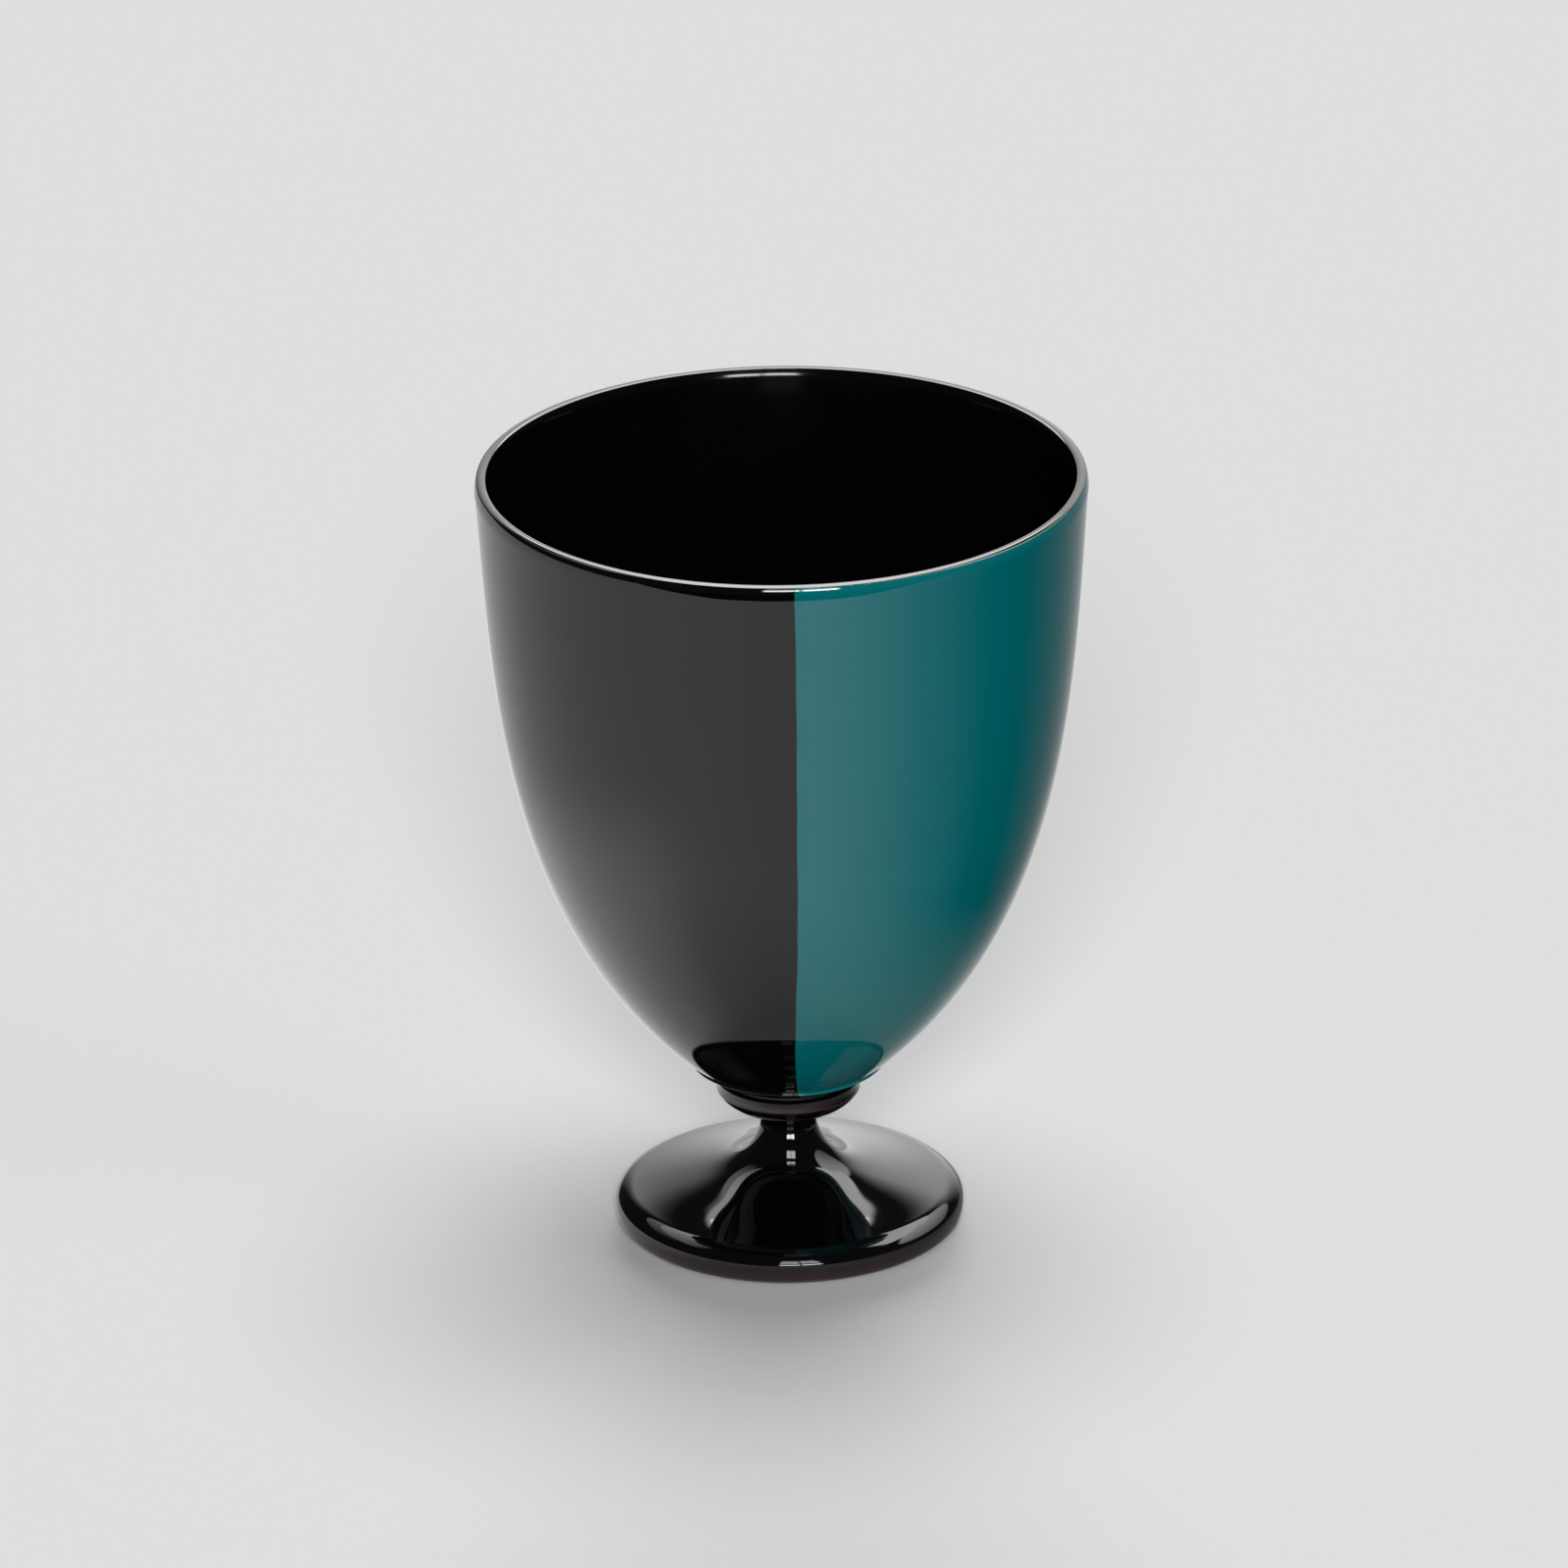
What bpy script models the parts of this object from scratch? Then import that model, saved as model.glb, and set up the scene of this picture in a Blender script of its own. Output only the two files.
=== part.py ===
"""Footed sake cup in turned wood and lacquer.

Three turned wooden pieces are joined with tenons: a thin egg-shaped bowl, a stem with a collar, and a
trumpet foot. Lacquer lies on them as separate coats: the lining, a black and a teal half outside the
bowl, and the coats of the stem and the foot. The cup stands on z = 0 with its axis on Z, and the seam
between the two outer halves runs beside the axis, in a plane square to X.
"""
import math

import bpy
from mathutils import Vector
from mathutils.geometry import interpolate_bezier

# Driving dimensions, in millimetres
MM = 0.001
HEIGHT = 82.25
LIP_RADIUS = 31.0
FOOT_RADIUS = 17.97
COLLAR_RADIUS = 7.44
COAT = 0.35
GAP = 0.30
SEAM_X = 1.2

# Lip and bowl: each side of the wall is one Bezier curve of (radius, height) points
LIP_INNER_RADIUS = 29.75
LIP_FLAT_RADIUS = 30.35
LIP_DROP = 1.25
LIP_ROUND = 0.2
BOWL_OUTSIDE = ((LIP_RADIUS, 80.7), (29.51, 59.73), (29.43, 33.48), (8.34, 16.7))
BOWL_INSIDE = ((0.0, 24.0), (26.5, 24.0), (25.8, 54.0), (LIP_INNER_RADIUS, HEIGHT - LIP_ROUND))
LINING_TOP = 69.0
BOSS_RADIUS = 6.95
BOSS_BOTTOM = 16.0
BOSS_HEIGHT = 0.8

# Stem: a rounded collar with a bowl-like underside, as Bezier curves down its seen side, and a short neck
COLLAR_TOP = BOSS_BOTTOM - GAP
COLLAR_SHOULDER = 6.6
COLLAR_EDGE = 14.72
COLLAR_BEAD = (
    (COLLAR_SHOULDER, COLLAR_TOP), (7.3, COLLAR_TOP), (COLLAR_RADIUS, 15.3), (COLLAR_RADIUS, COLLAR_EDGE)
)
COLLAR_UNDERSIDE = ((COLLAR_RADIUS, COLLAR_EDGE), (7.4, 14.08), (5.22, 12.05), (2.78, 12.38))
NECK = ((2.93, 11.92), (2.87, 11.3), (2.85, 10.65))

# Foot: a trumpet and a flatter disc, as Bezier curves, and a half-round edge whose arc is given in degrees
TRUMPET = ((2.98, 10.35), (4.24, 6.36), (5.8, 5.98), (11.2, 4.7))
DISC = ((11.2, 4.7), (12.95, 4.29), (14.68, 3.92), (16.38, 3.68))
EDGE_ROUND = 1.85
EDGE_START = 82
COAT_EDGE_END = -50
WOOD_EDGE_END = -35
REST_CORNER = (16.4, 0.45)
REST_OUTER = 16.2
REST_INNER = 13.6
RECESS_RIM = (12.8, 0.9)
RECESS_DEPTH = 1.2

# Tenons, and the mortises that take them with the gap all round
UPPER_TENON_RADIUS = 2.6
UPPER_TENON_TOP = 20.5
LOWER_TENON_RADIUS = 1.6
LOWER_TENON_END = 4.5
TENON_CHAMFER = 0.3

# Fineness of the turned surfaces
BOWL_SEGMENTS = 40
STEM_SEGMENTS = 32
FOOT_SEGMENTS = 40

UNDER_COAT = COAT + GAP

# Finishes: base colour, roughness
BLACK_LACQUER = ((0.004, 0.004, 0.005), 0.08)
TEAL_LACQUER = ((0.002, 0.095, 0.107), 0.08)
LACQUERED_WOOD = ((0.012, 0.006, 0.005), 0.30)


def clear_scene():
    for obj in list(bpy.data.objects):
        bpy.data.objects.remove(obj, do_unlink=True)


def new_collection(name):
    collection = bpy.data.collections.new(name)
    bpy.context.scene.collection.children.link(collection)
    return collection


def finish_material(name, finish):
    colour, roughness = finish
    material = bpy.data.materials.new(name)
    material.use_nodes = True
    shader = material.node_tree.nodes["Principled BSDF"]
    shader.inputs["Base Color"].default_value = (*colour, 1.0)
    shader.inputs["Roughness"].default_value = roughness
    shader.inputs["Metallic"].default_value = 0.0
    material.diffuse_color = (*colour, 1.0)
    return material


def bezier(points, steps):
    """Points along one cubic curve, both ends included."""
    knots = [Vector((radius, height, 0.0)) for radius, height in points]
    return [(p.x, p.y) for p in interpolate_bezier(*knots, steps + 1)]


def arc(centre, radii, start, end, steps):
    """Points of an ellipse round centre, from start to end in degrees."""
    angles = [math.radians(start + (end - start) * i / steps) for i in range(steps + 1)]
    return [(centre[0] + radii[0] * math.cos(a), centre[1] + radii[1] * math.sin(a)) for a in angles]


def inset(outline, depth):
    """The outline shifted into its material, which lies on its right; a point on the axis stays there."""
    shifted = []
    for i, (radius, height) in enumerate(outline):
        before = outline[max(i - 1, 0)]
        after = outline[min(i + 1, len(outline) - 1)]
        along = Vector((after[0] - before[0], after[1] - before[1])).normalized()
        if radius > 0.0:
            radius += depth * along.y
        shifted.append((radius, height - depth * along.x))
    return shifted


def coat_outline(face):
    """A coat of even thickness, whose seen side is face."""
    return face + inset(face, COAT)[::-1]


def turned(name, outline, segments, finish, collection, closed=False):
    """A piece turned round Z from an outline that runs down its outer side."""
    count = len(outline)
    edges = [(i, i + 1) for i in range(count - 1)]
    if closed:
        edges.append((count - 1, 0))
    mesh = bpy.data.meshes.new(name)
    mesh.from_pydata([(radius * MM, 0.0, height * MM) for radius, height in outline], edges, [])
    mesh.materials.append(finish_material(name, finish))
    piece = bpy.data.objects.new(name, mesh)
    collection.objects.link(piece)
    screw = piece.modifiers.new("turning", "SCREW")
    screw.axis = "Z"
    screw.angle = math.tau
    screw.steps = segments
    screw.render_steps = segments
    screw.use_merge_vertices = True
    screw.merge_threshold = 0.00001
    screw.use_smooth_shade = True
    return piece


def bowl_outside():
    return bezier(BOWL_OUTSIDE, 10)


def bowl_inside():
    return bezier(BOWL_INSIDE, 14)


def radius_at(curve, height):
    """Radius of a rising curve at a height, between its points."""
    for low, high in zip(curve, curve[1:]):
        if low[1] <= height <= high[1]:
            share = (height - low[1]) / (high[1] - low[1])
            return low[0] + share * (high[0] - low[0])
    raise ValueError("height is outside the curve")


def lining_face():
    inside = bowl_inside()
    covered = [point for point in inside if point[1] < LINING_TOP]
    return covered + [(radius_at(inside, LINING_TOP), LINING_TOP)]


def lip():
    """Over the lip: a small inner round, a narrow flat and a long outer round."""
    inner = arc((LIP_INNER_RADIUS + LIP_ROUND, HEIGHT - LIP_ROUND), (LIP_ROUND, LIP_ROUND), 180, 90, 2)
    reach = LIP_RADIUS - LIP_FLAT_RADIUS
    outer = arc((LIP_FLAT_RADIUS, HEIGHT - LIP_DROP), (reach, LIP_DROP), 90, 0, 4)
    return inner + outer


def bowl_outline():
    inside = bowl_inside()
    lining_bed = inset(lining_face(), UNDER_COAT)
    ledge = LINING_TOP + GAP
    step = [(lining_bed[-1][0], ledge), (radius_at(inside, ledge), ledge)]
    bare_inside = [point for point in inside[:-1] if point[1] > ledge]
    outside_bed = inset(bowl_outside(), UNDER_COAT)
    rebate = [(outside_bed[0][0], HEIGHT - LIP_DROP)]
    boss = [(BOSS_RADIUS, BOSS_BOTTOM + BOSS_HEIGHT), (BOSS_RADIUS, BOSS_BOTTOM)]
    mortise_radius = UPPER_TENON_RADIUS + GAP
    mortise_top = UPPER_TENON_TOP + GAP
    mortise = [(mortise_radius, BOSS_BOTTOM), (mortise_radius, mortise_top), (0.0, mortise_top)]
    return lining_bed + step + bare_inside + lip() + rebate + outside_bed + boss + mortise


def stem_face():
    """The seen outline of the collar, its underside and the neck."""
    return bezier(COLLAR_BEAD, 4) + bezier(COLLAR_UNDERSIDE, 5)[1:] + list(NECK)


def stem_outline():
    core = inset(stem_face(), UNDER_COAT)
    shoulder = COLLAR_SHOULDER - GAP
    tenon_corner = UPPER_TENON_RADIUS - TENON_CHAMFER
    upper = [(0.0, UPPER_TENON_TOP), (tenon_corner, UPPER_TENON_TOP),
             (UPPER_TENON_RADIUS, UPPER_TENON_TOP - TENON_CHAMFER), (UPPER_TENON_RADIUS, COLLAR_TOP),
             (shoulder, COLLAR_TOP), (shoulder, core[0][1])]
    lower_corner = LOWER_TENON_RADIUS - TENON_CHAMFER
    lower = [(LOWER_TENON_RADIUS, core[-1][1]), (LOWER_TENON_RADIUS, LOWER_TENON_END + TENON_CHAMFER),
             (lower_corner, LOWER_TENON_END), (0.0, LOWER_TENON_END)]
    return upper + core + lower


def foot_edge(radius, end):
    """The half-round edge of the disc, from where the disc meets it."""
    centre = (FOOT_RADIUS - EDGE_ROUND, EDGE_ROUND)
    return arc(centre, (radius, radius), EDGE_START, end, 6)


def foot_top():
    """The trumpet and the disc, down to where the edge begins to turn."""
    return bezier(TRUMPET, 7) + bezier(DISC, 2)[1:-1]


def foot_face():
    return foot_top() + foot_edge(EDGE_ROUND, COAT_EDGE_END)


def foot_outline():
    core = inset(foot_top(), UNDER_COAT)
    top = TRUMPET[0][1]
    mortise_radius = LOWER_TENON_RADIUS + GAP
    mortise_floor = LOWER_TENON_END - GAP
    mortise = [
        (0.0, mortise_floor), (mortise_radius, mortise_floor), (mortise_radius, top), (core[0][0], top)
    ]
    edge = foot_edge(EDGE_ROUND - UNDER_COAT, WOOD_EDGE_END)
    underside = [REST_CORNER, (REST_OUTER, 0.0), (REST_INNER, 0.0), RECESS_RIM, (0.0, RECESS_DEPTH)]
    return mortise + core + edge + underside


def half_coat(name, finish, side, parts, cutters):
    """The part of the bowl's outside coat that lies on one side of the seam."""
    coat = turned(name, coat_outline(bowl_outside()), BOWL_SEGMENTS, finish, parts, closed=True)
    reach = 3.0 * LIP_RADIUS
    centre_x = SEAM_X - side * (reach - GAP) / 2
    bpy.ops.mesh.primitive_cube_add(size=reach * MM, location=(centre_x * MM, 0.0, HEIGHT / 2 * MM))
    cutter = bpy.context.active_object
    cutter.name = name + "_cutter"
    for collection in list(cutter.users_collection):
        collection.objects.unlink(cutter)
    cutters.objects.link(cutter)
    cutter.hide_render = True
    cutter.display_type = "WIRE"
    cut = coat.modifiers.new("seam", "BOOLEAN")
    cut.operation = "DIFFERENCE"
    cut.solver = "EXACT"
    cut.object = cutter
    return coat


def main():
    clear_scene()
    parts = new_collection("sake_cup")
    cutters = new_collection("cutters")
    turned("bowl", bowl_outline(), BOWL_SEGMENTS, LACQUERED_WOOD, parts)
    turned("stem", stem_outline(), STEM_SEGMENTS, LACQUERED_WOOD, parts)
    turned("foot", foot_outline(), FOOT_SEGMENTS, LACQUERED_WOOD, parts)
    turned("lining_lacquer", coat_outline(lining_face()), BOWL_SEGMENTS, BLACK_LACQUER, parts)
    half_coat("black_half_lacquer", BLACK_LACQUER, -1, parts, cutters)
    half_coat("teal_half_lacquer", TEAL_LACQUER, 1, parts, cutters)
    turned("stem_lacquer", coat_outline(stem_face()), STEM_SEGMENTS, BLACK_LACQUER, parts, closed=True)
    turned("foot_lacquer", coat_outline(foot_face()), FOOT_SEGMENTS, BLACK_LACQUER, parts, closed=True)


main()
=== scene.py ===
"""Looks of the footed sake cup: finely turned lacquered pieces, studio light and the photograph's view.

Lengths are in millimetres until a mesh is made, which is in metres. The outlines are pairs of
(radius, height) and run down the outer side of a turned piece, with the material on their right.
"""
import math

import bpy
import numpy as np
from mathutils import Matrix, Vector


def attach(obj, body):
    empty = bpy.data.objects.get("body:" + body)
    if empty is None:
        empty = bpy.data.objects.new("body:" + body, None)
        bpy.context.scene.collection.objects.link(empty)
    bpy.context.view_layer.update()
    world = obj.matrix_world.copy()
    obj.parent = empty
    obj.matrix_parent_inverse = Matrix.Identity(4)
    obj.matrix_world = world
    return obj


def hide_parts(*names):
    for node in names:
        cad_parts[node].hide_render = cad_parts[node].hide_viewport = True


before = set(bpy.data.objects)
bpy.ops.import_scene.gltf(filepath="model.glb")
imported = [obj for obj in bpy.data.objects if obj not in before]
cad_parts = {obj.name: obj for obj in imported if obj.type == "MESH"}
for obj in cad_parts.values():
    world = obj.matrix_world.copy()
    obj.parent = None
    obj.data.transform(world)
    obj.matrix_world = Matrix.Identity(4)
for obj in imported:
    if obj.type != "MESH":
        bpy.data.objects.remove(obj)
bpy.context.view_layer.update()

MM = 0.001

# Fineness: segments round a turned piece, steps along each arc of the lip and of the foot's edge,
# and the angle in degrees from which an edge is shaded as sharp
SEGMENTS = 192
ARC_STEPS = 16
SHARP_ANGLE = 35

# Bowl and lip. Each arc of the lip has a radius and the angles of its outward normal at both ends.
BOWL_OUTSIDE = ((29.545, 60.277), (29.437, 34.845), (9.94, 18.03))
BOWL_INSIDE = ((0.0, 24.0), (26.5, 24.0), (24.9, 55.5), (29.425, 81.07))
LIP_ARCS = ((3.8, 170, 154), (0.15, 154, 104), (1.6, 104, 74), (0.19, 74, 22), (2.6, 22, 15), (2.9, 15, -4))

# Hem of the bowl: a fine bead, a narrow band and the rounded edge over the groove
BEAD_CENTRE = (9.92, 17.91)
BEAD_RADIUS = 0.12
BEAD_START = 45
BAND_ANGLE = -58
HEM_CENTRE = (8.36, 16.93)
HEM_RADIUS = 0.12
BLACK_HEM_END = -100
TEAL_HEM_END = -85
BOSS_RADIUS = 6.95
BOSS_BOTTOM = 15.95
COAT = 0.35
CLEAR = 0.01

# Teal coat, laid over the black one from the seam to the right. Each drift of the seam has a size, a height
# and a spread, and each wobble a size, a length and a phase. The coat starts at a share of its thickness at
# its edges and rises to the rest in a round. Near the seam its mesh has points at set distances.
TEAL_COAT = 0.045
TEAL_TOP_ANGLE = 40
SEAM_X = 1.22
SEAM_DRIFTS = ((-0.42, 26.0, 14.0), (0.4, 16.0, 2.2))
SEAM_WOBBLE = ((0.03, 31.0, 1.1), (0.02, 9.0, 0.4))
SEAM_ROUND = 0.10
SEAM_STEP = 0.25
SEAM_DISTANCES = (0.0, 0.01, 0.03, 0.06, 0.10, 0.16, 0.25, 0.4, 0.7, 1.2, 2.0)

# Stem: a cove down to the collar's sharp edge, its underside and a neck that swells a little. The coat is
# worn within a reach of the collar's edge, outside a radius.
COLLAR_TOP = 15.9
COLLAR_SHOULDER = 6.6
COLLAR_COVE = ((7.42, 15.75), (7.36, 15.4), (7.36, 15.05), (7.42, 14.76))
COLLAR_EDGE = (0.06, 13, -50)
COLLAR_WEAR_REACH = 0.5
COLLAR_WEAR_FALL = 1.5
COLLAR_WEAR_RADIUS = 6.8
COLLAR_UNDERSIDE_BEND = ((7.405, 14.081), (5.223, 12.1))
NECK_SHOULDER = ((2.78, 12.38), (2.84, 12.22), (2.89, 12.06), (2.93, 11.92))
NECK_ROUND = (0.08, 15, -9)
NECK_BEND = ((2.87, 11.3), (2.86, 11.0))
NECK_END = (2.85, 10.64)

# Foot: a fine round at the neck, the trumpet, the disc and the arcs of its edge, given as those of the lip.
# The coat on the edge is worn from one height on, and fully at another.
FOOT_TOP_CENTRE = (2.83, 10.33)
FOOT_TOP_ROUND = 0.13
FOOT_TOP_END = 19.3
TRUMPET_BEND = ((4.38, 6.31), (6.3, 5.86))
DISC = ((11.2, 4.70), (12.85, 4.31), (14.45, 3.953), (16.05, 3.728))
EDGE_ARCS = ((2.6, 82, 40), (1.1, 40, 10), (3.0, 10, -18), (1.08, -18, -58))
EDGE_WEAR = (2.4, 0.6)
REST_ROUND = (0.3, 0.12)
REST_OUTER = 16.2
REST_INNER = 13.6
RECESS_RIM = (12.8, 0.9)
RECESS_DEPTH = 1.2

# Tenons inside
UPPER_TENON_RADIUS = 2.6
UPPER_TENON_TOP = 20.5
LOWER_TENON_RADIUS = 1.6
LOWER_TENON_END = 4.5
TENON_CHAMFER = 0.3

# Lacquers: deep, pale and worn colour, refractive index, range of roughness and share of dusty cells
BLACKS = (0.0008, 0.0008, 0.0010), (0.0018, 0.0017, 0.0021), (0.026, 0.008, 0.007)
TEALS = (0.0001, 0.131, 0.146), (0.0004, 0.144, 0.160), (0.0, 0.10, 0.11)
BLACK_IOR = 1.62
TEAL_IOR = 1.7
LINING_IOR = 1.5
POLISH = (0.02, 0.045)
LINING_POLISH = (0.08, 0.11)
DUST_SHARE = 0.02
LINING_DUST_SHARE = 0.10
DUST_SPACING = 4.0
DUST_SIZE = 0.07
DUST_COLOUR = (0.36, 0.35, 0.34)
DUST_ROUGHNESS = 0.4
CLOUD_SCALE = 90.0
WEAR_SCALE = 420.0
GLOSS_SCALE = 55.0
WAVE_SCALE = 260.0
NOISE_RANGE = (0.3, 0.7)
WEAR_RANGE = (0.6, 1.0)
WAVE_DEPTH = 0.0015

# Sealed wood: dark and pale grain, and what shows where the resting ring is rubbed, up to a height
GRAINS = (0.005, 0.0032, 0.0028), (0.020, 0.0095, 0.0075)
RUBBED = (0.085, 0.046, 0.028)
RUBBED_HEIGHTS = (0.05, 0.3)
RUBBED_ROUGHNESS = 0.2
RUBBED_SCALE = 500.0
RUBBED_RANGE = (0.42, 0.62)
WOOD_IOR = 1.5
WOOD_POLISH = (0.22, 0.34)
GRAIN_SCALES = (120.0, 900.0, 900.0)
GRAIN_RELIEF = 0.6
RING_SCALE = 450.0
RING_DEPTH = 0.008

# Camera, from fitting the cup's outline in the photograph
CAMERA_DISTANCE = 1217.0
CAMERA_ELEVATION = 23.081
CAMERA_ROLL = 0.664
FOCAL_PIXELS = 12183.0
IMAGE_PIXELS = 1600
AIM_HEIGHT = 45.0
AIM_PIXEL = (801.0, 829.7)
SENSOR_WIDTH = 36.0
CLIP_START = 10.0

# Studio: soft lights that only the lacquer mirrors, by direction, in degrees. Azimuth 0 is behind the cup and
# 90 on its right. Each has a centre, half its width and height, how softly it fades at its sides and at its
# top and bottom, its radiance, how that grows towards its right end and its top, and a tilt down at the back.
# An oval one fades all round.
SOFTBOX = dict(at=(58, 30.5), half=(36, 16.5), fade=(0.1, 0.1), radiance=1.75, grow=(-0.27, 1.3),
               oval=True, tilt=-7)
SOFTBOX_END = dict(at=(29, 43.5), half=(18.5, 5.5), fade=(0.15, 0.15), radiance=3.0, oval=True)
SCRIM = dict(at=(-48, 42.5), half=(36, 6.3), fade=(0.12, 0.12), radiance=0.55, grow=(0.65, 0.2), oval=True)
BACKDROP = dict(at=(6, 8), half=(33, 28), fade=(1.0, 0.35), radiance=1.7)
ARCH = dict(at=(0, 57), half=(105, 7), fade=(0.1, 0.2), radiance=2.6, grow=(2.1, 0.0), tilt=9)

# Windows in front, in rows with an elevation, half a height and a radiance
WINDOW_AZIMUTHS = (165.9, 180.3)
WINDOW_HALF_WIDTH = 7.4
WINDOW_FADE = 0.25
WINDOW_ROWS = ((14.5, 3.7, 15.0), (37.0, 6.8, 6.5), (52.5, 3.8, 5.0))

# The room's own light, the share of the lights in what is mirrored a second time, and the paper that the
# camera sees beyond the floor
ROOM_RADIANCE = 0.03
MIRRORED_AGAIN = 0.25
PAPER = 0.71

# Floor, with a fine fibre that the camera sees
FLOOR_RADIUS = 1200.0
FLOOR_VERTICES = 96
FLOOR_ALBEDO = 0.70
FLOOR_IOR = 1.5
FLOOR_ROUGHNESS = 0.9
FIBRE = 0.015
FIBRE_SCALE = 700.0

# The floor's colour as the lacquer mirrors it and as it throws light back, by mm and by degrees from +X, with
# painted light and shade in it: painted dark in front of a line that bends away at both sides, paler behind
# the cup and near it on the left as painted light, and painted shade on the right.
PAINTED_DARK_DISTANCE = 182.0
PAINTED_DARK_BEND = 75.0
PAINTED_DARK_SLOPE = 0.62
PAINTED_LIGHT_ALBEDO = 0.98
BEHIND_DEPTHS = (0.0, 30.0)
BEHIND_WIDTHS = (40.0, 70.0)
LEFT_ANGLES = (115, 155)
LEFT_DISTANCES = (70.0, 115.0)
SHADE_ANGLES = (8, 80)
SHADE_CURVE = (0.6, 0.4)
SHADE_DISTANCES = (10.0, 60.0)
SHADE_SHARES = (0.5, 1.0)

# Broad lamps that light the floor and the cup without being mirrored: the direction that each stands in,
# how wide it looks, all in degrees, and its strength
LAMPS = {
    "high_lamp": (20, 78, 34, 1.55),
    "rear_lamp": (0, 16, 30, 1.75),
    "front_lamp": (180, 28, 16, 2.25),
    "side_lamp": (110, 10, 30, 0.8),
}

# A card behind the cup, above the picture, for the lip to mirror: its distance, the heights of its ends, half
# its width and its radiance
CARD_DISTANCE = 150.0
CARD_HEIGHTS = (155.0, 450.0)
CARD_HALF_WIDTH = 42.0
CARD_RADIANCE = 4.5


def bezier(points, steps):
    """Points along one cubic curve, both ends included."""
    p = np.array(points, float)
    t = np.linspace(0.0, 1.0, steps + 1)[:, None]
    s = 1.0 - t
    curve = s**3 * p[0] + 3 * s**2 * t * p[1] + 3 * s * t**2 * p[2] + t**3 * p[3]
    return [tuple(point) for point in curve]


def arc(centre, radii, start, end, steps):
    """Points of an ellipse round centre, from start to end in degrees."""
    angles = np.radians(np.linspace(start, end, steps + 1))
    return [(centre[0] + radii[0] * math.cos(a), centre[1] + radii[1] * math.sin(a)) for a in angles]


def inset(outline, depth):
    """The outline shifted into its material; a point on the axis stays there."""
    shifted = []
    for i, (radius, height) in enumerate(outline):
        before = outline[max(i - 1, 0)]
        after = outline[min(i + 1, len(outline) - 1)]
        along = Vector((after[0] - before[0], after[1] - before[1])).normalized()
        if radius > 0.0:
            radius += depth * along.y
        shifted.append((radius, height - depth * along.x))
    return shifted


def turned(name, outline, closed=False, thin=()):
    """A mesh turned round Z from an outline; the ends of an open one lie on the axis.

    The values of thin say how worn the coat is at the first points of the outline.
    """
    angles = np.arange(SEGMENTS) * math.tau / SEGMENTS
    vertices, rings, wear = [], [], []
    for i, (radius, height) in enumerate(outline):
        count = SEGMENTS if radius > 1e-6 else 1
        rings.append([len(vertices) + j % count for j in range(SEGMENTS)])
        vertices += [(radius * math.cos(a) * MM, radius * math.sin(a) * MM, height * MM)
                     for a in angles[:count]]
        wear += [thin[i] if i < len(thin) else 0.0] * count
    pairs = list(zip(rings, rings[1:]))
    if closed:
        pairs.append((rings[-1], rings[0]))
    faces = []
    for upper, lower in pairs:
        for i in range(SEGMENTS):
            j = (i + 1) % SEGMENTS
            corners = (upper[i], lower[i], lower[j], upper[j])
            faces.append(tuple(dict.fromkeys(corners)))
    return new_piece(name, vertices, faces, wear)


def new_piece(name, vertices, faces, wear):
    mesh = bpy.data.meshes.new(name)
    mesh.from_pydata(vertices, [], faces)
    mesh.attributes.new("thin", "FLOAT", "POINT").data.foreach_set("value", wear)
    mesh.shade_smooth()
    mesh.set_sharp_from_angle(angle=math.radians(SHARP_ANGLE))
    piece = bpy.data.objects.new(name, mesh)
    bpy.context.scene.collection.objects.link(piece)
    return piece


def inner_face():
    return bezier(BOWL_INSIDE, 60)[:-1]


def onward(point, radius, start, end, steps):
    """An arc that goes on from a point, between two angles of its outward normal."""
    turn = math.radians(start)
    centre = (point[0] - radius * math.cos(turn), point[1] - radius * math.sin(turn))
    return arc(centre, (radius, radius), start, end, steps)[1:]


def lip():
    """Over the lip: the flare of the inner wall, a small round, a crowned top and the outer rounds."""
    outline = [BOWL_INSIDE[-1]]
    for radius, start, end in LIP_ARCS:
        outline += onward(outline[-1], radius, start, end, ARC_STEPS)
    return outline


def lip_below(angle):
    """The part of the lip whose normal points lower than an angle."""
    angles = [LIP_ARCS[0][1]]
    for _, start, end in LIP_ARCS:
        angles += list(np.linspace(start, end, ARC_STEPS + 1)[1:])
    return [point for point, turn in zip(lip(), angles) if turn <= angle]


def outer_face():
    """Down the outside of the bowl, from the lip's last arc on."""
    return bezier((lip()[-1], *BOWL_OUTSIDE), 90)[1:]


def hem(end):
    """Below the bowl's curve: a fine bead, a narrow band, and the edge round to an angle."""
    bead = arc(BEAD_CENTRE, (BEAD_RADIUS, BEAD_RADIUS), BEAD_START, BAND_ANGLE, 12)
    edge = arc(HEM_CENTRE, (HEM_RADIUS, HEM_RADIUS), BAND_ANGLE, end, 8)
    return bead + edge


def coated_bowl():
    """The black coats' face in two: inside the bowl up to the lip, and from there down the outside."""
    over = inset(lip() + outer_face() + hem(BLACK_HEM_END), TEAL_COAT)
    return inner_face() + over[:ARC_STEPS + 1], over[ARC_STEPS:]


def lining_coat():
    face, _ = coated_bowl()
    return turned("lining_coat", face + inset(face, COAT)[::-1])


def black_coat():
    """The black coat over the lip and all round the outside, down to its hem."""
    _, face = coated_bowl()
    return turned("black_coat", face + inset(face, COAT)[::-1], closed=True)


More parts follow.
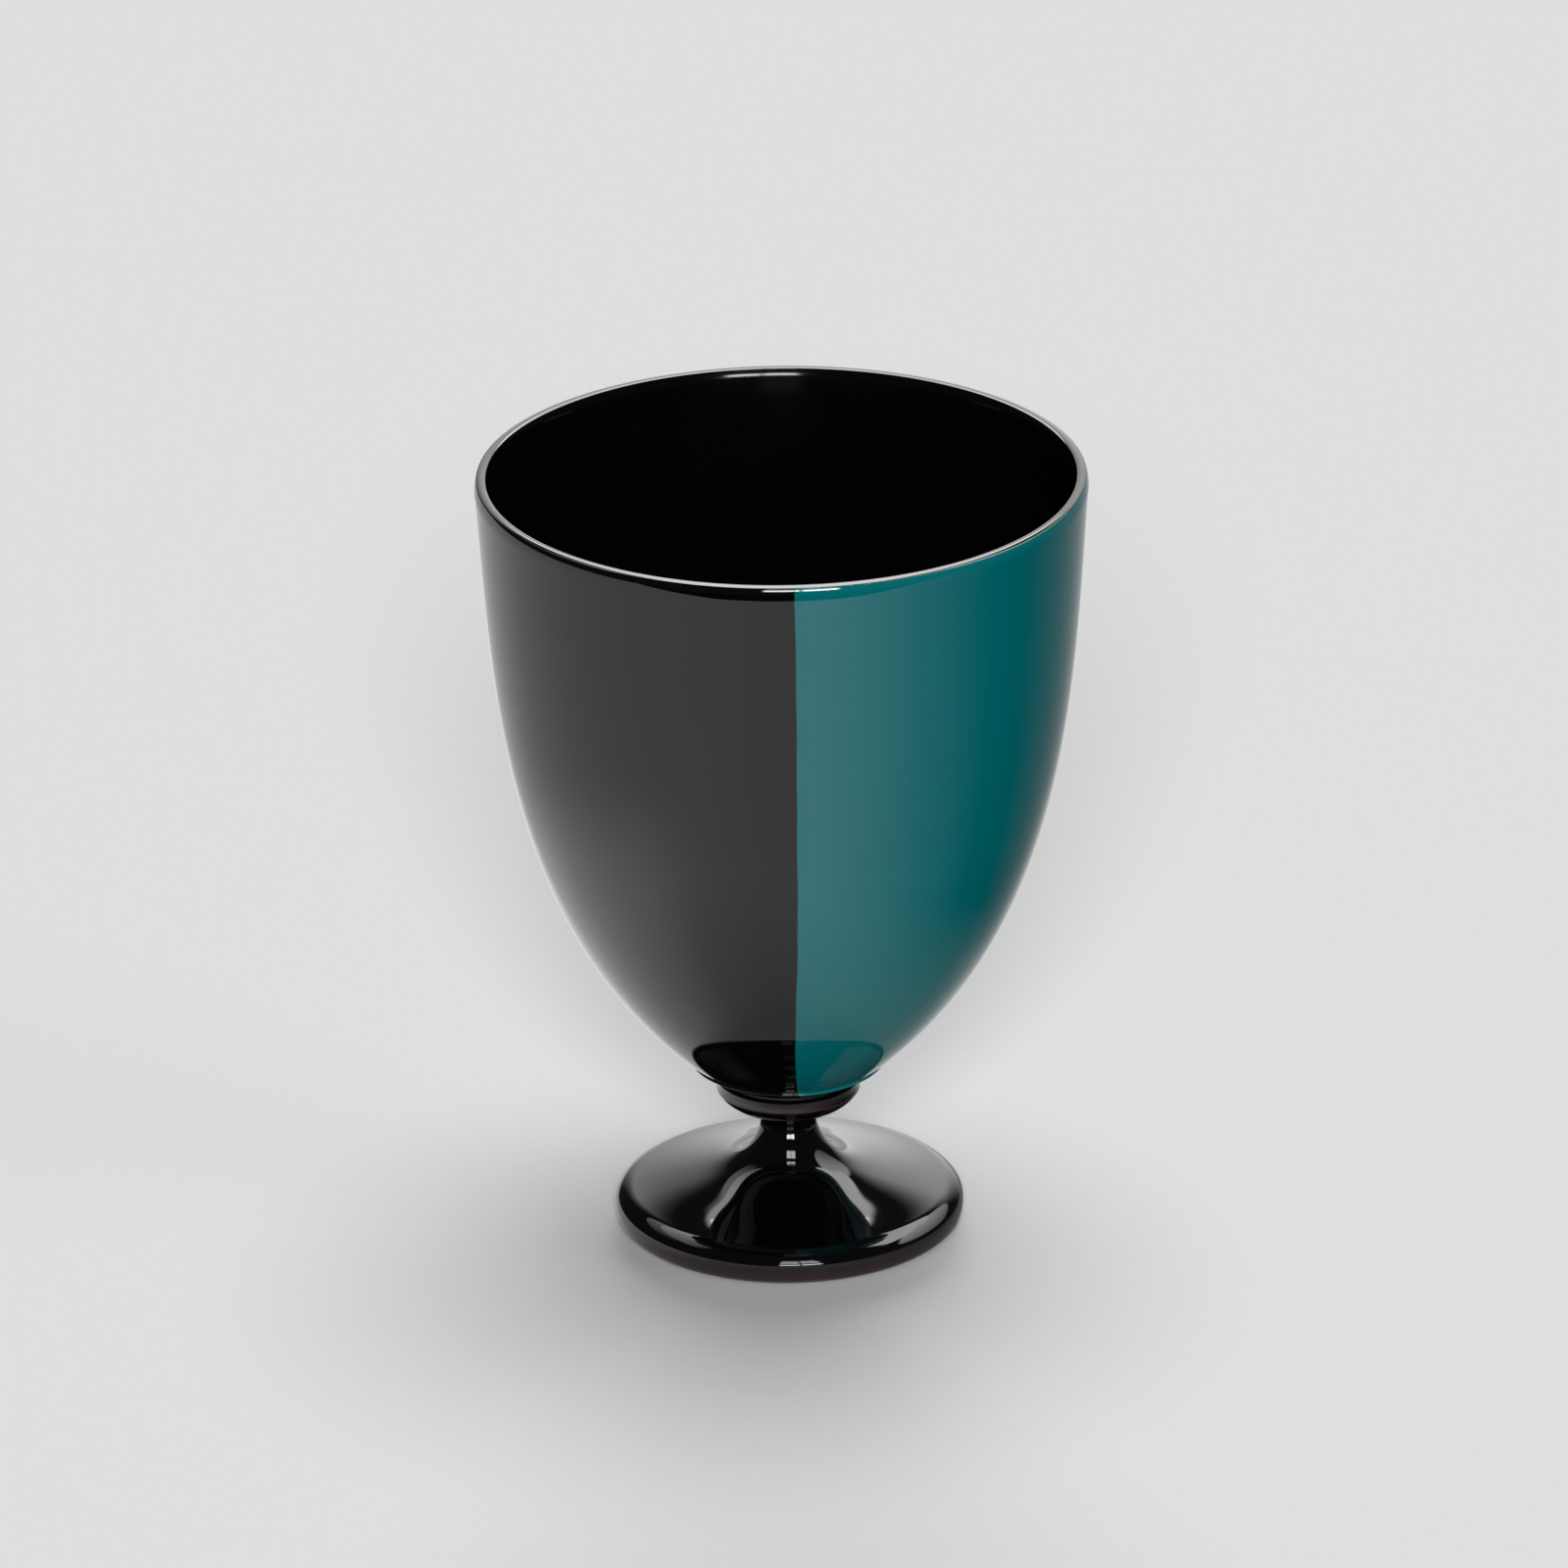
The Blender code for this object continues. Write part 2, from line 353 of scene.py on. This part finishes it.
def bowl_core():
    """The turned wooden bowl under its coats, with the boss and the mortise for the stem."""
    inside, outside = coated_bowl()
    coated = inset(inside + outside[1:], COAT + CLEAR)
    boss = [(BOSS_RADIUS, coated[-1][1]), (BOSS_RADIUS, BOSS_BOTTOM)]
    mortise_radius = UPPER_TENON_RADIUS + CLEAR
    mortise_top = UPPER_TENON_TOP + CLEAR
    mortise = [(mortise_radius, BOSS_BOTTOM), (mortise_radius, mortise_top), (0.0, mortise_top)]
    return turned("bowl_core", coated + boss + mortise)


def seam_at(height, side):
    """Where the hand-painted seam lies at a height, on the front (-1) or the back (1)."""
    place = SEAM_X
    for size, centre, spread in SEAM_DRIFTS:
        place += size * math.exp(-((height - centre) / spread) ** 2)
    for size, length, phase in SEAM_WOBBLE:
        place += size * math.sin(height / length * math.tau + phase + side)
    return place


def teal_coat():
    """The teal layer over the right half, with soft raised edges along the seam, the lip and the foot end."""
    face = lip_below(TEAL_TOP_ANGLE) + outer_face() + hem(TEAL_HEM_END)
    back = inset(face, TEAL_COAT - CLEAR / 2)
    along = np.cumsum([0.0] + [math.dist(a, b) for a, b in zip(face, face[1:])])
    outer_rows, inner_rows, wear = [], [], []
    for (radius, height), (inner_radius, inner_height), run in zip(face, back, along):
        front = -math.acos(seam_at(height, -1) / radius)
        rear = math.acos(seam_at(height, 1) / radius)
        near = [front + d / radius for d in SEAM_DISTANCES]
        far = [rear - d / radius for d in reversed(SEAM_DISTANCES)]
        middle = np.linspace(near[-1], far[0], SEGMENTS // 2 + 2)[1:-1]
        outer, under = [], []
        for angle in [*near, *middle, *far]:
            to_edge = min((angle - front) * radius, (rear - angle) * radius, run, along[-1] - run)
            lift = edge_lift(to_edge)
            wear.append(1.0 - lift)
            r = inner_radius + (radius - inner_radius) * lift
            z = inner_height + (height - inner_height) * lift
            outer.append((r * math.cos(angle) * MM, r * math.sin(angle) * MM, z * MM))
            across = inner_radius * math.cos(angle) * MM, inner_radius * math.sin(angle) * MM
            under.append((*across, inner_height * MM))
        outer_rows.append(outer)
        inner_rows.append(under)
    return shell("teal_coat", outer_rows, inner_rows, wear * 2)


def edge_lift(distance):
    """How far a coat has risen to its full thickness at a distance from its painted edge."""
    share = min(max(distance, 0.0) / SEAM_ROUND, 1.0)
    return SEAM_STEP + (1.0 - SEAM_STEP) * math.sqrt(1.0 - (1.0 - share) ** 2)


def shell(name, outer, inner, wear):
    """A closed sheet from rows of points on its two sides."""
    rows, columns = len(outer), len(outer[0])
    vertices = [v for row in outer for v in row] + [v for row in inner for v in row]
    offset = rows * columns
    faces = []
    for i in range(rows - 1):
        for j in range(columns - 1):
            a, b = i * columns + j, (i + 1) * columns + j
            faces.append((a, b, b + 1, a + 1))
            faces.append((offset + a, offset + a + 1, offset + b + 1, offset + b))
    for j in range(columns - 1):
        faces.append((j, j + 1, offset + j + 1, offset + j))
        a = (rows - 1) * columns + j
        faces.append((a, offset + a, offset + a + 1, a + 1))
    for i in range(rows - 1):
        a, b = i * columns, (i + 1) * columns
        faces.append((a, offset + a, offset + b, b))
        a, b = a + columns - 1, b + columns - 1
        faces.append((a, b, offset + b, offset + a))
    return new_piece(name, vertices, faces, wear)


def stem_face():
    """The seen outline of the collar, its underside and the neck, down to the ring where the foot begins."""
    cove = [(COLLAR_SHOULDER, COLLAR_TOP)] + bezier(COLLAR_COVE, 14)
    edge = onward(cove[-1], *COLLAR_EDGE, 8)
    underside = bezier((edge[-1], *COLLAR_UNDERSIDE_BEND, NECK_SHOULDER[0]), 30)
    shoulder = bezier(NECK_SHOULDER, 8)
    shoulder += onward(shoulder[-1], *NECK_ROUND, 6)
    neck = bezier((shoulder[-1], *NECK_BEND, NECK_END), 16)
    return cove + edge + underside[1:] + shoulder[1:] + neck[1:]


def collar_wear(outline):
    """The coat thins over the collar's edge."""
    middle = COLLAR_COVE[-1][1]
    wear = []
    for radius, height in outline:
        share = max(0.0, 1.0 - abs(height - middle) / COLLAR_WEAR_REACH)
        wear.append(share ** COLLAR_WEAR_FALL if radius > COLLAR_WEAR_RADIUS else 0.0)
    return wear


def stem_coat():
    face = stem_face()
    return turned("stem_coat", face + inset(face, COAT)[::-1], closed=True, thin=collar_wear(face))


def stem_core():
    core = inset(stem_face(), COAT + CLEAR)
    shoulder = COLLAR_SHOULDER - CLEAR
    upper = [
        (0.0, UPPER_TENON_TOP), (UPPER_TENON_RADIUS - TENON_CHAMFER, UPPER_TENON_TOP),
        (UPPER_TENON_RADIUS, UPPER_TENON_TOP - TENON_CHAMFER), (UPPER_TENON_RADIUS, COLLAR_TOP),
        (shoulder, COLLAR_TOP), (shoulder, core[0][1]),
    ]
    lower = [
        (LOWER_TENON_RADIUS, core[-1][1]), (LOWER_TENON_RADIUS, LOWER_TENON_END + TENON_CHAMFER),
        (LOWER_TENON_RADIUS - TENON_CHAMFER, LOWER_TENON_END), (0.0, LOWER_TENON_END),
    ]
    return turned("stem_core", upper + core + lower)


def foot_face():
    """Down the foot: a fine round at the neck, the trumpet, the flatter disc and its round edge."""
    top = arc(FOOT_TOP_CENTRE, (FOOT_TOP_ROUND, FOOT_TOP_ROUND), 90, FOOT_TOP_END, 8)
    trumpet = bezier((top[-1], *TRUMPET_BEND, DISC[0]), 60)
    outline = top + trumpet[1:] + bezier(DISC, 30)[1:]
    for radius, start, end in EDGE_ARCS:
        outline += onward(outline[-1], radius, start, end, ARC_STEPS)
    return outline


def foot_wear(outline):
    """The coat thins over the disc's edge, most of all low down."""
    top, full = EDGE_WEAR
    return [min(1.0, max(0.0, (top - height) / (top - full))) if radius > DISC[-1][0] else 0.0
            for radius, height in outline]


def foot_coat():
    face = foot_face()
    return turned("foot_coat", face + inset(face, COAT)[::-1], closed=True, thin=foot_wear(face))


def foot_core():
    core = inset(foot_face(), COAT + CLEAR)
    mortise_radius = LOWER_TENON_RADIUS + CLEAR
    mortise_floor = LOWER_TENON_END - CLEAR
    mortise = [(0.0, mortise_floor), (mortise_radius, mortise_floor), (mortise_radius, core[0][1])]
    ring = [(REST_OUTER + REST_ROUND[0], REST_ROUND[1]), (REST_OUTER, 0.0), (REST_INNER, 0.0)]
    return turned("foot_core", mortise + core + ring + [RECESS_RIM, (0.0, RECESS_DEPTH)])


def add(tree, kind, inputs=None, **settings):
    """A new node with its settings, and with its inputs set or linked."""
    node = tree.nodes.new("ShaderNode" + kind)
    for key, value in settings.items():
        setattr(node, key, value)
    for key, value in (inputs or {}).items():
        if isinstance(value, bpy.types.NodeSocket):
            tree.links.new(value, node.inputs[key])
        else:
            node.inputs[key].default_value = value
    return node


def maths(tree, operation, *values):
    return add(tree, "Math", dict(enumerate(values)), operation=operation).outputs[0]


def ramp(tree, value, low, high, to_low=0.0, to_high=1.0, smooth=True):
    """A value carried from one range to another and held at its ends."""
    kind = "SMOOTHSTEP" if smooth else "LINEAR"
    inputs = {"Value": value, "From Min": low, "From Max": high, "To Min": to_low, "To Max": to_high}
    return add(tree, "MapRange", inputs, interpolation_type=kind).outputs["Result"]


def mixed(tree, share, first, second):
    """A colour between two others, which are sockets or (red, green, blue)."""
    node = tree.nodes.new("ShaderNodeMix")
    node.data_type = "RGBA"
    for name, value in (("Factor_Float", share), ("A_Color", first), ("B_Color", second)):
        socket = next(s for s in node.inputs if s.identifier == name)
        if isinstance(value, bpy.types.NodeSocket):
            tree.links.new(value, socket)
        else:
            socket.default_value = (*value, 1.0)
    return next(s for s in node.outputs if s.identifier == "Result_Color")


def noise(tree, place, scale, detail=2.0):
    inputs = {"Vector": place, "Scale": scale, "Detail": detail}
    return add(tree, "TexNoise", inputs).outputs["Fac"]


def dust(tree, place, spacing, size, share):
    """A mask of sparse specks: one to a cell, in only a share of the cells."""
    cells = add(tree, "TexVoronoi", {"Vector": place, "Scale": 1 / (spacing * MM)})
    speck = maths(tree, "LESS_THAN", cells.outputs["Distance"], size / spacing)
    pick = add(tree, "SeparateColor", {"Color": cells.outputs["Color"]}).outputs["Red"]
    return maths(tree, "MULTIPLY", speck, maths(tree, "LESS_THAN", pick, share))


def new_material(name, ior):
    material = bpy.data.materials.new(name)
    material.use_nodes = True
    shader = material.node_tree.nodes["Principled BSDF"]
    shader.inputs["IOR"].default_value = ior
    place = add(material.node_tree, "TexCoord").outputs["Object"]
    return material, material.node_tree, shader, place


def feed(tree, shader, colour, roughness, height, depth):
    """Links a material's colour, roughness and fine relief."""
    relief = add(tree, "Bump", {"Height": height, "Distance": depth * MM, "Strength": 1.0})
    tree.links.new(colour, shader.inputs["Base Color"])
    tree.links.new(roughness, shader.inputs["Roughness"])
    tree.links.new(relief.outputs["Normal"], shader.inputs["Normal"])


def lacquer(name, deep, pale, worn, ior, polish, dust_share):
    """Polished lacquer: a little cloudy, worn to another colour where it thins, with specks of dust."""
    material, tree, shader, place = new_material(name, ior)
    thin = add(tree, "Attribute", attribute_name="thin").outputs["Fac"]
    cloudy = mixed(tree, noise(tree, place, CLOUD_SCALE, 4.0), deep, pale)
    uneven = ramp(tree, noise(tree, place, WEAR_SCALE, 3.0), *NOISE_RANGE, *WEAR_RANGE)
    coated = mixed(tree, maths(tree, "MULTIPLY", thin, uneven), cloudy, worn)
    specks = dust(tree, place, DUST_SPACING, DUST_SIZE, dust_share)
    colour = mixed(tree, specks, coated, DUST_COLOUR)
    gloss = ramp(tree, noise(tree, place, GLOSS_SCALE, 3.0), *NOISE_RANGE, *polish)
    roughness = maths(tree, "ADD", gloss, maths(tree, "MULTIPLY", specks, DUST_ROUGHNESS))
    feed(tree, shader, colour, roughness, noise(tree, place, WAVE_SCALE, 1.0), WAVE_DEPTH)
    return material


def lacquered_wood():
    """Turned wood under thin dark lacquer: rings from the lathe, grain along X, and wear where it rests."""
    material, tree, shader, place = new_material("lacquered_wood", WOOD_IOR)
    stretched = add(tree, "Mapping", {"Vector": place, "Scale": GRAIN_SCALES}).outputs["Vector"]
    grain = noise(tree, stretched, 1.0, 4.0)
    turning = {"Vector": place, "Scale": RING_SCALE, "Distortion": 1.2, "Detail": 2.0, "Detail Scale": 2.0}
    rings = add(tree, "TexWave", turning, wave_type="RINGS", rings_direction="Z")
    height = add(tree, "SeparateXYZ", {"Vector": place}).outputs["Z"]
    rubbed = ramp(tree, height, *(end * MM for end in RUBBED_HEIGHTS), 1.0, 0.0)
    patches = ramp(tree, noise(tree, place, RUBBED_SCALE, 4.0), *RUBBED_RANGE)
    patchy = maths(tree, "MULTIPLY", rubbed, patches)
    dark = mixed(tree, grain, *GRAINS)
    colour = mixed(tree, patchy, dark, RUBBED)
    polish = ramp(tree, grain, *NOISE_RANGE, *WOOD_POLISH)
    roughness = maths(tree, "ADD", polish, maths(tree, "MULTIPLY", patchy, RUBBED_ROUGHNESS))
    relief = maths(tree, "ADD", rings.outputs["Fac"], maths(tree, "MULTIPLY", grain, GRAIN_RELIEF))
    feed(tree, shader, colour, roughness, relief, RING_DEPTH)
    return material


def dress(piece, slot, material, *nodes):
    piece.data.materials.append(material)
    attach(piece, "root")
    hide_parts(*nodes)


def camera():
    """The photograph's camera: aimed at a point on the axis, rolled, and turned to put it on its pixel."""
    elevation = math.radians(CAMERA_ELEVATION)
    ahead = Vector((0.0, math.cos(elevation), -math.sin(elevation)))
    right = Vector((1.0, 0.0, 0.0))
    up = right.cross(ahead)
    axes = Matrix((right, up, -ahead)).transposed()
    middle = IMAGE_PIXELS / 2
    yaw = math.atan((AIM_PIXEL[0] - middle) / FOCAL_PIXELS)
    pitch = math.atan((AIM_PIXEL[1] - middle) / FOCAL_PIXELS)
    roll = Matrix.Rotation(-math.radians(CAMERA_ROLL), 3, "Z")
    turn = Matrix.Rotation(yaw, 3, "Y") @ Matrix.Rotation(pitch, 3, "X")
    place = Vector((0.0, 0.0, AIM_HEIGHT)) - ahead * CAMERA_DISTANCE
    data = bpy.data.cameras.new("photo_view")
    data.sensor_width = SENSOR_WIDTH
    data.lens = FOCAL_PIXELS / IMAGE_PIXELS * SENSOR_WIDTH
    data.clip_start = CLIP_START * MM
    eye = bpy.data.objects.new("photo_view", data)
    eye.matrix_world = Matrix.Translation(place * MM) @ (axes @ roll @ turn).to_4x4()
    bpy.context.scene.collection.objects.link(eye)
    bpy.context.scene.camera = eye


def soft_light(tree, direction, at, half, fade, radiance, grow=(0.0, 0.0), oval=False, tilt=0.0):
    """The radiance of one soft light in a direction; a tilt lowers the light at the back."""
    lean = {"Vector": direction, "Angle": math.radians(tilt)}
    raised = add(tree, "VectorRotate", lean, rotation_type="X_AXIS")
    turn = {"Vector": raised.outputs["Vector"], "Angle": math.radians(at[0])}
    ahead = add(tree, "VectorRotate", turn, rotation_type="Z_AXIS")
    parts = add(tree, "SeparateXYZ", {"Vector": ahead.outputs["Vector"]}).outputs
    azimuth = maths(tree, "ARCTAN2", parts["X"], parts["Y"])
    elevation = maths(tree, "SUBTRACT", maths(tree, "ARCSINE", parts["Z"]), math.radians(at[1]))
    across = maths(tree, "DIVIDE", azimuth, math.radians(half[0]))
    upward = maths(tree, "DIVIDE", elevation, math.radians(half[1]))
    if oval:
        squares = [maths(tree, "MULTIPLY", value, value) for value in (across, upward)]
        mask = ramp(tree, maths(tree, "SQRT", maths(tree, "ADD", *squares)), 1.0 - fade[0], 1.0, 1.0, 0.0)
    else:
        sides = [maths(tree, "ABSOLUTE", value) for value in (across, upward)]
        masks = [ramp(tree, side, 1.0 - soft, 1.0, 1.0, 0.0) for side, soft in zip(sides, fade)]
        mask = maths(tree, "MULTIPLY", *masks)
    level = maths(tree, "MULTIPLY_ADD", across, grow[0], radiance)
    level = maths(tree, "MULTIPLY_ADD", upward, grow[1], level)
    return maths(tree, "MULTIPLY", mask, maths(tree, "MAXIMUM", level, 0.0))


def studio():
    """A dim room with soft lights that only the gloss mirrors; the camera sees pale paper instead."""
    world = bpy.data.worlds.new("studio")
    world.use_nodes = True
    tree = world.node_tree
    direction = add(tree, "TexCoord").outputs["Generated"]
    windows = [
        dict(at=(azimuth, elevation), half=(WINDOW_HALF_WIDTH, half), fade=(WINDOW_FADE, WINDOW_FADE),
             radiance=radiance)
        for elevation, half, radiance in WINDOW_ROWS for azimuth in WINDOW_AZIMUTHS
    ]
    total = 0.0
    for light in (SOFTBOX, SOFTBOX_END, SCRIM, BACKDROP, ARCH, *windows):
        total = maths(tree, "MAXIMUM", soft_light(tree, direction, **light), total)
    path = add(tree, "LightPath").outputs
    again = ramp(tree, path["Glossy Depth"], 1.0, 2.0, 1.0, MIRRORED_AGAIN, smooth=False)
    mirrored = maths(tree, "MULTIPLY", path["Is Glossy Ray"], again)
    total = maths(tree, "MULTIPLY_ADD", total, mirrored, ROOM_RADIANCE)
    room = tree.nodes["Background"]
    room.inputs["Color"].default_value = (1.0, 1.0, 1.0, 1.0)
    tree.links.new(total, room.inputs["Strength"])
    paper = add(tree, "Background", {"Color": (PAPER, PAPER, PAPER, 1.0)})
    both = add(tree, "MixShader", {0: path["Is Camera Ray"], 1: room.outputs[0], 2: paper.outputs[0]})
    tree.links.new(both.outputs[0], tree.nodes["World Output"].inputs["Surface"])
    bpy.context.scene.world = world


def broad_lamp(name, azimuth, elevation, width, strength):
    """A distant lamp that the lacquer doesn't mirror."""
    azimuth, elevation = math.radians(azimuth), math.radians(elevation)
    level = math.cos(elevation)
    towards = Vector((math.sin(azimuth) * level, math.cos(azimuth) * level, math.sin(elevation)))
    data = bpy.data.lights.new(name, "SUN")
    data.angle = math.radians(width)
    data.energy = strength
    lamp = bpy.data.objects.new(name, data)
    lamp.rotation_euler = towards.to_track_quat("Z", "Y").to_euler()
    lamp.visible_glossy = False
    bpy.context.scene.collection.objects.link(lamp)


def lip_card():
    """A standing bright card that the gloss mirrors, and that lights nothing else."""
    width, height = 2 * CARD_HALF_WIDTH * MM, (CARD_HEIGHTS[1] - CARD_HEIGHTS[0]) * MM
    data = bpy.data.lights.new("lip_card", "AREA")
    data.shape = "RECTANGLE"
    data.size, data.size_y = width, height
    data.energy = CARD_RADIANCE * math.pi * width * height
    card = bpy.data.objects.new("lip_card", data)
    card.location = (0.0, CARD_DISTANCE * MM, sum(CARD_HEIGHTS) / 2 * MM)
    card.rotation_euler = (-math.pi / 2, 0.0, 0.0)
    card.visible_diffuse = False
    bpy.context.scene.collection.objects.link(card)


def mirrored_floor(tree, place):
    """The floor's colour at each place to all but the camera, with painted light and shade in it:
    dark in front, paler behind and near the left, and shaded on the right.
    """
    parts = add(tree, "SeparateXYZ", {"Vector": place}).outputs
    angle = maths(tree, "ABSOLUTE", maths(tree, "ARCTAN2", parts["Y"], parts["X"]))
    away = add(tree, "VectorMath", {0: place}, operation="LENGTH").outputs["Value"]
    beside = maths(tree, "ABSOLUTE", parts["X"])

    # Painted shade on the right: the floor's colour darkens with the angle from +X and the distance from the
    # cup
    turn = ramp(tree, angle, *(math.radians(end) for end in SHADE_ANGLES), smooth=False)
    aside = maths(tree, "MULTIPLY", turn, maths(tree, "MULTIPLY_ADD", turn, *SHADE_CURVE))
    shaded = ramp(tree, away, *(end * MM for end in SHADE_DISTANCES), *SHADE_SHARES, smooth=False)
    lit = maths(tree, "MULTIPLY_ADD", shaded, maths(tree, "SUBTRACT", aside, 1.0), 1.0)

    # Painted dark: the floor's colour is black in front of a line that bends away at both sides
    bend = maths(tree, "MAXIMUM", maths(tree, "SUBTRACT", beside, PAINTED_DARK_BEND * MM), 0.0)
    front = maths(tree, "MULTIPLY_ADD", bend, -PAINTED_DARK_SLOPE, -PAINTED_DARK_DISTANCE * MM)
    reach = maths(tree, "GREATER_THAN", parts["Y"], front)

    # Painted light: the floor's colour is paler behind the cup and near it on the left
    behind = maths(tree, "MULTIPLY", ramp(tree, parts["Y"], *(end * MM for end in BEHIND_DEPTHS)),
                   ramp(tree, beside, *(end * MM for end in BEHIND_WIDTHS), 1.0, 0.0))
    left = maths(tree, "MULTIPLY", ramp(tree, angle, *(math.radians(end) for end in LEFT_ANGLES)),
                 ramp(tree, away, *(end * MM for end in LEFT_DISTANCES), 1.0, 0.0))
    bright = maths(tree, "MAXIMUM", behind, left)
    pale = ramp(tree, bright, 0.0, 1.0, FLOOR_ALBEDO, PAINTED_LIGHT_ALBEDO, smooth=False)
    return maths(tree, "MULTIPLY", pale, maths(tree, "MULTIPLY", lit, reach))


def floor():
    """Pale paper, evenly pale to the camera."""
    bpy.ops.mesh.primitive_circle_add(vertices=FLOOR_VERTICES, radius=FLOOR_RADIUS * MM, fill_type="TRIFAN")
    plane = bpy.context.active_object
    plane.name = "floor"
    material, tree, shader, place = new_material("pale_floor", FLOOR_IOR)
    seen = add(tree, "LightPath").outputs["Is Camera Ray"]
    fibres = [[FLOOR_ALBEDO * (1.0 + side * FIBRE)] * 3 for side in (-1, 1)]
    fibre = mixed(tree, noise(tree, place, FIBRE_SCALE, 4.0), *fibres)
    tree.links.new(mixed(tree, seen, mirrored_floor(tree, place), fibre), shader.inputs["Base Color"])
    shader.inputs["Roughness"].default_value = FLOOR_ROUGHNESS
    shader.inputs["Specular IOR Level"].default_value = 0.0
    plane.data.materials.append(material)


black = lacquer("black_lacquer", *BLACKS, BLACK_IOR, POLISH, DUST_SHARE)
lining = lacquer("lining_lacquer", *BLACKS, LINING_IOR, LINING_POLISH, LINING_DUST_SHARE)
teal = lacquer("teal_lacquer", *TEALS, TEAL_IOR, POLISH, DUST_SHARE)
wood = lacquered_wood()
dress(bowl_core(), "lacquered_wood", wood, "bowl")
dress(lining_coat(), "black_lacquer", lining, "lining_lacquer")
dress(black_coat(), "black_lacquer", black, "black_half_lacquer")
dress(teal_coat(), "teal_lacquer", teal, "teal_half_lacquer")
dress(stem_core(), "lacquered_wood", wood, "stem")
dress(stem_coat(), "black_lacquer", black, "stem_lacquer")
dress(foot_core(), "lacquered_wood", wood, "foot")
dress(foot_coat(), "black_lacquer", black, "foot_lacquer")

camera()
floor()
studio()
for lamp, place in LAMPS.items():
    broad_lamp(lamp, *place)
lip_card()

bpy.context.scene.view_settings.view_transform = "Standard"
